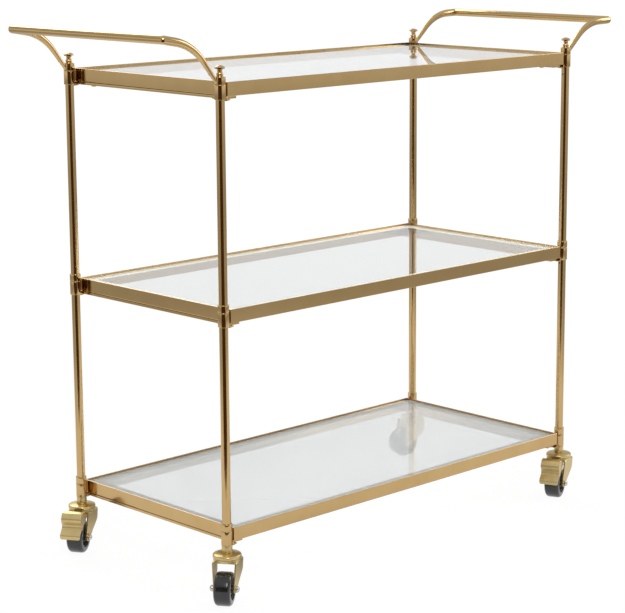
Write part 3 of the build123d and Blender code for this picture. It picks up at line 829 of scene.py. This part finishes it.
def makeStems():
    low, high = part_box("caster_stems")
    foot, top = low.z / mm, high.z / mm
    bossTop = seamAt["low"] / mm - fitting["sleeve"]
    rivetTop = foot + stem["rivetHeight"]
    outline = [
        (0, foot), (stem["rivet"], foot), (stem["rivet"], rivetTop), (stem["kingpin"], rivetTop),
        (stem["kingpin"], cup["top"]), (stem["boss"], cup["top"]), (stem["boss"], bossTop),
        (stem["spigot"], bossTop), (stem["spigot"], top), (0, top),
    ]
    bm = soften(turned(outline, 64), stem["rounding"], 3, 60)
    piece("casterStems", repeated(bm, postPlaces(0)), "caster_brass", "cart", "caster_stems", smooth=50)


def makeCups():
    rim, wall = cup["rim"], cup["wall"]
    top, shoulder, foot = cup["top"], cup["rimHeight"], cup["foot"]
    outline = [(cup["hole"], top), (cup["boss"], top)]
    outline += domeLine((cup["boss"], top), (rim, shoulder), cup["rise"])
    outline += [(rim, shoulder), (rim, foot), (rim - wall, foot), (rim - wall, shoulder - wall / 2)]
    outline += [(cup["boss"], top - wall), (cup["hole"], top - wall)]

    def roundRim(height, width, segments):
        def atHeight(edge):
            spots = [vert.co / mm for vert in edge.verts]
            outer = all(hypot(spot.x, spot.y) > rim - cup["near"] for spot in spots)
            return outer and all(abs(spot.z - height) < cup["near"] for spot in spots)
        soften(bm, width, segments, 40, atHeight)

    bm = turned(outline, 72, closed=True)
    roundRim(shoulder, cup["rimRounding"], 5)
    roundRim(foot, cup["footRounding"], 3)
    piece("casterCups", repeated(bm, postPlaces(0)), "caster_brass", "cart", "caster_cups", smooth=50)


tyre = {
    "section": [
        (16.0, -12.1), (16.4, -12.5), (20.0, -12.5), (21.9, -12.1), (23.5, -11.0), (24.6, -9.4),
        (25.0, -7.5), (25.0, 0), (25.0, 7.5), (24.6, 9.4), (23.5, 11.0), (21.9, 12.1), (20.0, 12.5),
        (16.4, 12.5), (16.0, 12.1),
    ],
}
hub = {
    "outer": 16.0, "half": 10.5, "recessOuter": 13.5, "recessInner": 7.5, "depth": 4.0,
    "boss": 6.0, "bossHalf": 12.6, "bore": 3.08, "edge": 0.3, "rimEdge": 0.4, "draft": 0.5, "rounding": 0.12,
}
nut = {
    "radius": 4.8, "flat": 2.6, "dome": 2.5, "face": 17.0, "shank": 3.0, "shoulder": 0.94,
    "chamfer": 0.25, "rounding": 0.1,
}


def casterPlace(corner):
    # the caster's own frame: swivel axis on Z, trail along +X
    spot, centre = postAt[corner], middleOf("wheel_hub_" + corner)
    heading = atan2(centre.y - spot.y, centre.x - spot.x)
    return Matrix.Translation((spot.x, spot.y, 0)) @ Matrix.Rotation(heading, 4, 'Z')


def wheelPlace(corner):
    # the wheel's centre, with the turned axis laid across the caster
    spot, centre = postAt[corner], middleOf("wheel_hub_" + corner)
    trail = hypot(centre.x - spot.x, centre.y - spot.y)
    return casterPlace(corner) @ Matrix.Translation((trail, 0, centre.z)) @ Matrix.Rotation(pi / 2, 4, 'X')


def hubSection():
    half, bossHalf, floor = hub["half"], hub["bossHalf"], hub["half"] - hub["depth"]
    outer, inner, boss = hub["recessOuter"], hub["recessInner"], hub["boss"]
    edge, rimEdge, draft = hub["edge"], hub["rimEdge"], hub["draft"]
    right = [
        (hub["outer"], half), (outer + rimEdge, half), (outer, half - rimEdge), (outer - draft, floor),
        (inner + draft, floor), (inner, half - edge), (inner - edge, half), (boss, half),
        (boss, bossHalf - edge), (boss - edge, bossHalf), (hub["bore"], bossHalf),
    ]
    return right + [(radius, -across) for radius, across in reversed(right)]


def nutSection():
    radius, flat, dome = nut["radius"], nut["flat"], nut["dome"]
    shoulder = radius * nut["shoulder"]
    turns = [pi / 2 * step / 7 for step in range(1, 7)]
    rise = [(shoulder * cos(turn), flat + dome * sin(turn)) for turn in turns]
    return [(0, 0), (radius, 0), (radius, flat - nut["chamfer"]), (shoulder, flat), *rise, (0, flat + dome)]


def makeWheels():
    for corner in sides:
        place = wheelPlace(corner)
        body, carrier = "wheel_" + corner, "fork_" + corner
        bm = repeated(turned(tyre["section"], 80, closed=True), [place])
        piece("tyre_" + corner, bm, "black_tyre", body, "wheel_tyre_" + corner, smooth=45)
        bm = soften(turned(hubSection(), 64, closed=True), hub["rounding"], 2, 60)
        piece("wheelCentre_" + corner, repeated(bm, [place]), "black_hub", body, "wheel_hub_" + corner)
        cap = soften(turned(nutSection(), 36), nut["rounding"], 2, 50)
        outward = Matrix.Translation((0, 0, nut["face"] * mm))
        caps = repeated(cap, [outward, Matrix.Rotation(pi, 4, 'X') @ outward])
        bm = joined(caps, rod(nut["shank"], 2 * nut["face"]))
        piece("wheelBolt_" + corner, repeated(bm, [place]), "bright_steel", carrier, "wheel_axle_" + corner)


pressed = {"fork": 0.3, "pedal": 0.35, "segments": 2, "sharper": 35, "flat": 0.4, "weld": 2e-6}


def pressedCopy(node, name, body, rounding):
    # the CAD shape with its flat faces merged and its pressed edges rounded
    bm = bmesh.new()
    bm.from_mesh(frame["nodes"][node].data)
    bmesh.ops.remove_doubles(bm, verts=bm.verts, dist=pressed["weld"])
    bmesh.ops.dissolve_limit(
        bm, angle_limit=radians(pressed["flat"]), verts=bm.verts[:], edges=bm.edges[:],
    )
    made = piece(name, bm, "caster_brass", body, node, smooth=pressed["sharper"])
    edges = made.modifiers.new("Pressed edges", 'BEVEL')
    edges.width = rounding * mm
    edges.segments = pressed["segments"]
    edges.limit_method = 'ANGLE'
    edges.angle_limit = radians(pressed["sharper"])
    edges.harden_normals = True


def makeForks():
    for corner in sides:
        pressedCopy("caster_fork_" + corner, "casterFork_" + corner, "fork_" + corner, pressed["fork"])
        node = "brake_pedal_" + corner
        if node in frame["nodes"]:
            pressedCopy(node, "brakePedal_" + corner, "pedal_" + corner, pressed["pedal"])


makeStems()
makeCups()
makeWheels()
makeForks()
print("casters ready")


# Floor, light and camera

stage = {
    "size": 60, "floor": (0.80, 0.80, 0.79), "floorRoughness": 0.9, "white": 1.03,
    "shadowShare": 0.10, "shadowFade": (1.0, 3.0), "worldLight": 0.62, "middle": (0, 0, 0.4),
    # what metal and glass mirror, as painted reflection levels with a painted shadow under the cart: distance
    # from the cart and level, then height in the world and level
    "paintedMirrorSpan": 10,
    "paintedMirrorLevels": [
        (0.0, 0.20), (0.24, 0.24), (0.36, 0.92), (1.0, 1.0), (1.7, 0.55), (2.3, 0.43), (3.0, 0.46),
        (4.2, 0.43), (9.0, 0.70),
    ],
    # painted reflection levels of the world, by height, for rays off metal and glass only
    "paintedSkyLevels": [
        (0.0, 0.90), (0.10, 0.86), (0.20, 0.62), (0.30, 0.45), (0.5, 0.52), (0.75, 0.75), (1.0, 0.75),
    ],
}
lamps = {
    "key": {"at": (-2.2, -2.6, 3.0), "size": (1.6, 1.6), "power": 60},
    "fill": {"at": (3.2, -1.6, 2.0), "size": (1.4, 2.0), "power": 26},
    "back": {"at": (0.6, 3.0, 2.6), "size": (2.4, 1.2), "power": 34},
}
view = {
    "at": (-2.2014, -2.2603, 1.0011), "yaw": 44.497, "pitch": 11.044, "roll": -0.236,
    "lens": 115.35, "shift": (-0.041, -0.028), "sensor": 36, "clip": (0.1, 200),
}
# the brown-tinted glow of the cards paints dark reflections into the brass; the cards light nothing
paintedReflectionColour = (0.075, 0.036, 0.012)
paintedReflectionCards = {  # across, towards the camera, up, in m
    "behindCamera": [(-2.3, 3.4, 0), (2.3, 3.4, 0), (2.3, 3.4, 1.7), (-2.3, 3.4, 1.7)],
    "beforeCamera": [(-0.6, 0.95, 0.002), (0.6, 0.95, 0.002), (2.3, 3.4, 0.002), (-2.3, 3.4, 0.002)],
}


def stepped(tree, value, stops, span=1):
    # a brightness read off a list of positions and levels
    scale = ranged(tree, value, 0, 1, 0, span)
    ramp = tree.nodes.new('ShaderNodeValToRGB')
    ramp.color_ramp.elements.remove(ramp.color_ramp.elements[1])
    for number, (place, level) in enumerate(stops):
        stop = ramp.color_ramp.elements.new(place / span) if number else ramp.color_ramp.elements[0]
        stop.position = place / span
        stop.color = (level, level, level, 1)
    tree.links.new(scale, ramp.inputs["Fac"])
    return ramp.outputs["Color"]


def anyOf(tree, *outputs):
    # one where any of the ray kinds is one
    total = outputs[0]
    for other in outputs[1:]:
        larger = tree.nodes.new('ShaderNodeMath')
        larger.operation = 'MAXIMUM'
        tree.links.new(total, larger.inputs[0])
        tree.links.new(other, larger.inputs[1])
        total = larger.outputs[0]
    return total


def mixedShaders(tree, share, first, second, output):
    mix = tree.nodes.new('ShaderNodeMixShader')
    tree.links.new(share, mix.inputs[0])
    tree.links.new(first, mix.inputs[1])
    tree.links.new(second, mix.inputs[2])
    tree.links.new(mix.outputs[0], tree.nodes[output].inputs["Surface"])


def chosen(tree, share, first, second):
    # one number or another, by a share
    mix = tree.nodes.new('ShaderNodeMix')
    mix.inputs["A"].default_value = first
    tree.links.new(second, mix.inputs["B"])
    tree.links.new(share, mix.inputs["Factor"])
    return mix.outputs["Result"]


def mirroredOnly(tree, rays):
    # one for rays that come off metal or glass, not for those that pass through glass
    apart = tree.nodes.new('ShaderNodeMath')
    apart.operation = 'SUBTRACT'
    apart.use_clamp = True
    tree.links.new(rays.outputs["Is Glossy Ray"], apart.inputs[0])
    tree.links.new(rays.outputs["Is Transmission Ray"], apart.inputs[1])
    return apart.outputs[0]


def seesBackdrop(tree, rays):
    # one for rays from the camera, off metal or glass, and through glass
    kinds = ["Is Camera Ray", "Is Glossy Ray", "Is Transmission Ray"]
    return anyOf(tree, *[rays.outputs[kind] for kind in kinds])


def makeFloor():
    bm = bmesh.new()
    bmesh.ops.create_grid(bm, x_segments=1, y_segments=1, size=stage["size"] / 2)
    mesh = bpy.data.meshes.new("floor")
    bm.to_mesh(mesh)
    bm.free()
    floor = bpy.data.objects.new("floor", mesh)
    bpy.context.scene.collection.objects.link(floor)
    material = bpy.data.materials.new("Pale floor")
    tree, shader = nodeTree(material)
    shader.inputs["Base Color"].default_value = (*stage["floor"], 1)
    shader.inputs["Roughness"].default_value = stage["floorRoughness"]
    glow = tree.nodes.new('ShaderNodeEmission')
    rays = tree.nodes.new('ShaderNodeLightPath')
    where = tree.nodes.new('ShaderNodeTexCoord')
    reach = tree.nodes.new('ShaderNodeVectorMath')
    reach.operation = 'LENGTH'
    tree.links.new(where.outputs["Object"], reach.inputs[0])
    # painted reflection: metal and glass see the floor at the listed levels, dark under the cart as painted
    # shade
    paintedMirrorLevels = stepped(tree, reach.outputs["Value"], stage["paintedMirrorLevels"], stage["paintedMirrorSpan"])
    strength = chosen(tree, mirroredOnly(tree, rays), stage["white"], paintedMirrorLevels)
    tree.links.new(strength, glow.inputs["Strength"])
    both = tree.nodes.new('ShaderNodeMath')
    both.operation = 'MULTIPLY'
    tree.links.new(seesBackdrop(tree, rays), both.inputs[0])
    fade = ranged(tree, reach.outputs["Value"], 1 - stage["shadowShare"], 1, *stage["shadowFade"])
    tree.links.new(fade, both.inputs[1])
    mixedShaders(tree, both.outputs[0], shader.outputs[0], glow.outputs[0], "Material Output")
    mesh.materials.append(material)


def makePaintedReflectionCards():
    # dark glowing cards that only the reflections in metal and glass see: a painted dark brown reflection,
    # not a lamp
    material = bpy.data.materials.new("Painted dark reflection card")
    _, shader = nodeTree(material)
    shader.inputs["Base Color"].default_value = (0, 0, 0, 1)
    shader.inputs["Specular IOR Level"].default_value = 0
    shader.inputs["Emission Color"].default_value = (*paintedReflectionColour, 1)
    shader.inputs["Emission Strength"].default_value = 1
    towards = Matrix.Rotation(radians(180 - view["yaw"]), 4, 'Z')
    for name, corners in paintedReflectionCards.items():
        bm = bmesh.new()
        bm.faces.new([bm.verts.new(towards @ Vector(corner)) for corner in corners])
        mesh = bpy.data.meshes.new(name)
        bm.to_mesh(mesh)
        bm.free()
        mesh.materials.append(material)
        made = bpy.data.objects.new(name, mesh)
        bpy.context.scene.collection.objects.link(made)
        made.visible_camera = made.visible_diffuse = made.visible_transmission = made.visible_shadow = False


def makeWorld():
    world = bpy.data.worlds.new("Studio")
    bpy.context.scene.world = world
    world.use_nodes = True
    tree = world.node_tree
    light = tree.nodes["Background"]
    light.inputs["Color"].default_value = (1, 1, 1, 1)
    light.inputs["Strength"].default_value = stage["worldLight"]
    white = tree.nodes.new('ShaderNodeBackground')
    white.inputs["Color"].default_value = (1, 1, 1, 1)
    rays = tree.nodes.new('ShaderNodeLightPath')
    where = tree.nodes.new('ShaderNodeTexCoord')
    height = tree.nodes.new('ShaderNodeSeparateXYZ')
    tree.links.new(where.outputs["Generated"], height.inputs[0])
    # painted reflection: metal and glass see the world at levels by height from the list, while camera rays
    # see it white
    paintedSkyLevels = stepped(tree, height.outputs["Z"], stage["paintedSkyLevels"])
    tree.links.new(chosen(tree, mirroredOnly(tree, rays), 1, paintedSkyLevels), white.inputs["Strength"])
    mixedShaders(tree, seesBackdrop(tree, rays), light.outputs[0], white.outputs[0], "World Output")


def makeLamps():
    for name, lamp in lamps.items():
        light = bpy.data.lights.new(name, 'AREA')
        light.shape = 'RECTANGLE'
        light.size, light.size_y = lamp["size"]
        light.energy = lamp["power"]
        holder = bpy.data.objects.new(name, light)
        holder.location = lamp["at"]
        aim = Vector(stage["middle"]) - Vector(lamp["at"])
        holder.rotation_euler = aim.to_track_quat('-Z', 'Y').to_euler()
        bpy.context.scene.collection.objects.link(holder)


def makeCamera():
    camera = bpy.data.cameras.new("photo")
    camera.sensor_width = view["sensor"]
    camera.lens = view["lens"]
    camera.shift_x, camera.shift_y = view["shift"]
    camera.clip_start, camera.clip_end = view["clip"]
    holder = bpy.data.objects.new("photo", camera)
    turn = Matrix.Rotation(-radians(view["yaw"]), 4, 'Z')
    turn = turn @ Matrix.Rotation(radians(90 - view["pitch"]), 4, 'X')
    turn = turn @ Matrix.Rotation(radians(view["roll"]), 4, 'Z')
    holder.matrix_world = Matrix.Translation(view["at"]) @ turn
    bpy.context.scene.collection.objects.link(holder)
    bpy.context.scene.camera = holder


makeFloor()
makePaintedReflectionCards()
makeWorld()
makeLamps()
makeCamera()
bpy.context.scene.view_settings.view_transform = 'Standard'
print("stage ready")
